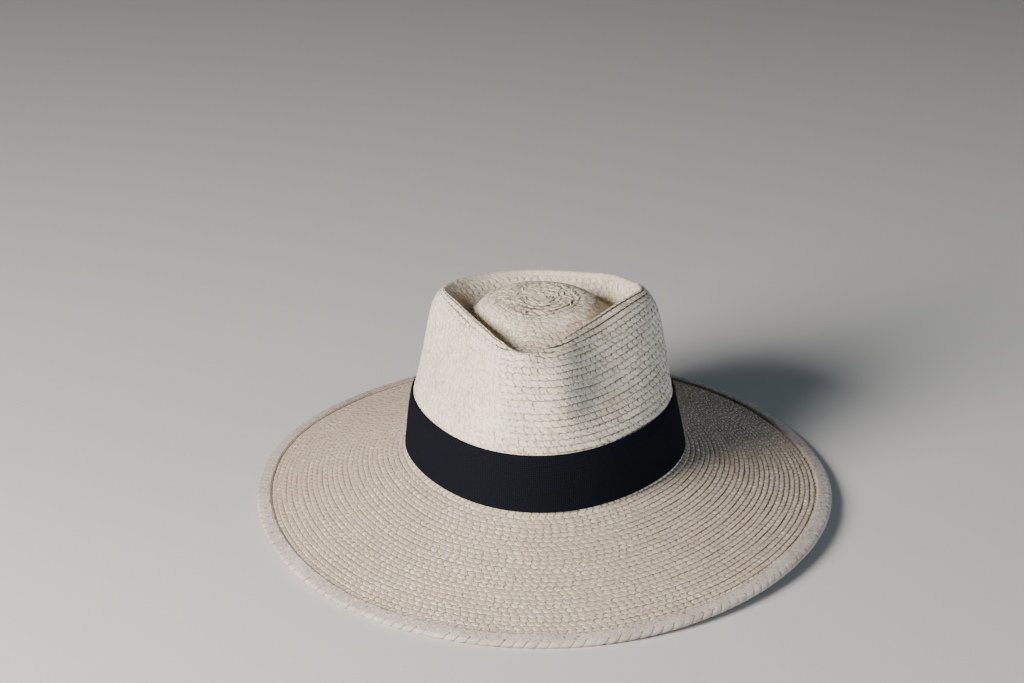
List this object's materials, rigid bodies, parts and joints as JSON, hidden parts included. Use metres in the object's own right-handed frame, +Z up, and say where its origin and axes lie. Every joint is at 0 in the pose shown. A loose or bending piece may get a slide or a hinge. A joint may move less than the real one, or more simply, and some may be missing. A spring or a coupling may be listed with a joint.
{
  "type": "palm leaf straw hat",
  "caption": "Wide-brimmed straw hat sewn of plaited palm leaf, with a creased teardrop crown, a bound brim edge and a plain black elastic band; its head hollow is open below.",
  "frame": {"origin": "on the floor, under the middle of the brim", "axes": "+Z up through the crown, -Y to the front of the hat, +X to the wearer's left"},
  "size_m": [0.3562, 0.384, 0.1325],
  "materials": {
    "palm_braid": "dry plaited palm leaf, sewn in lapped rows",
    "binding_braid": "bleached palm braid folded over the edge",
    "elastic_ribbon": "matt black woven elastic"
  },
  "bodies": {
    "root": {"crown": "palm_braid", "brim": "palm_braid", "brim_binding": "binding_braid", "hat_band": "elastic_ribbon"}
  },
  "joints": []
}
